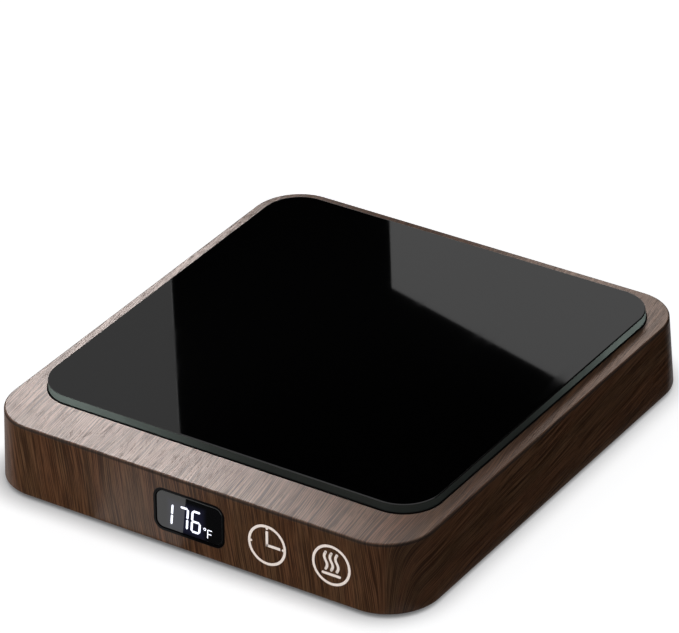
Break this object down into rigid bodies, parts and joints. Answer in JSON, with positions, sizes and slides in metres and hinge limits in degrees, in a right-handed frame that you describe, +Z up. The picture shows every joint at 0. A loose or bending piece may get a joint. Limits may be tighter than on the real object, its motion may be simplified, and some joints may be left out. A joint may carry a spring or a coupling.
{
  "type": "electric mug warmer",
  "caption": "Low electric mug warmer: a black glass hot plate set in a walnut-look housing, with a digital display, touch keys and a cord gland.",
  "frame": {"origin": "middle of the footprint, on the surface that the rubber feet stand on", "axes": "+Z up; +Y from the control face with its display towards the cord gland at the back; +X to the right of a user who faces the control face"},
  "size_m": [0.13, 0.139, 0.0239],
  "materials": {
    "walnut_film": "satin printed film on a moulded housing",
    "black_plastic": "fine matt",
    "black_rubber": "matt",
    "zinc_steel": "zinc plated",
    "black_glass": "polished, back-printed black",
    "aluminium": "rolled",
    "mica": "matt, flaky",
    "resistive_foil": "etched foil",
    "fibre_felt": "needled fibre",
    "plated_steel": "pressed sheet",
    "spring_steel": "bright",
    "fuse_case": "tinned",
    "circuit_board": "solder mask",
    "ferrite": "matt with tape",
    "capacitor_box": "moulded",
    "capacitor_can": "sleeved",
    "black_resin": "moulded",
    "fuse_glass": "glass tube with metal caps",
    "white_nylon": "moulded",
    "supply_insulation": "plain",
    "heater_insulation": "braided sleeve",
    "sensor_insulation": "plain",
    "gloss_black": "polished",
    "smoked_lens": "polished",
    "digit_block": "dark face with white segments",
    "ribbon": "flat ribbon"
  },
  "bodies": {
    "root": {"top_housing": "walnut_film", "base_cover": "black_plastic", "rubber_feet": "black_rubber", "base_screws": "zinc_steel", "glass_plate": "black_glass", "plate_gasket": "black_rubber", "heat_spreader": "aluminium", "upper_mica_sheet": "mica", "heater_track": "resistive_foil", "lower_mica_sheet": "mica", "insulation_felt": "fibre_felt", "heater_bracket": "plated_steel", "bracket_screws": "zinc_steel", "temperature_sensor": "aluminium", "sensor_clip": "spring_steel", "thermal_fuse": "fuse_case", "fuse_clip": "spring_steel", "main_board": "circuit_board", "main_board_screws": "zinc_steel", "power_transformer": "ferrite", "filter_capacitor": "capacitor_box", "storage_capacitor": "capacitor_can", "heater_switch": "black_resin", "buzzer": "black_resin", "board_fuse": "fuse_glass", "control_chip": "black_resin", "supply_connector": "white_nylon", "heater_connector": "white_nylon", "sensor_connector": "white_nylon", "terminal_block": "white_nylon", "terminal_screws": "zinc_steel", "supply_leads": "supply_insulation", "sensor_leads": "sensor_insulation", "heater_leads": "heater_insulation", "display_bezel": "gloss_black", "display_lens": "smoked_lens", "digit_display": "digit_block", "display_board": "circuit_board", "display_board_screws": "zinc_steel", "timer_touch_spring": "spring_steel", "heat_touch_spring": "spring_steel", "ribbon_sockets": "white_nylon", "display_ribbon": "ribbon", "cord_grommet": "black_rubber"}
  },
  "joints": []
}
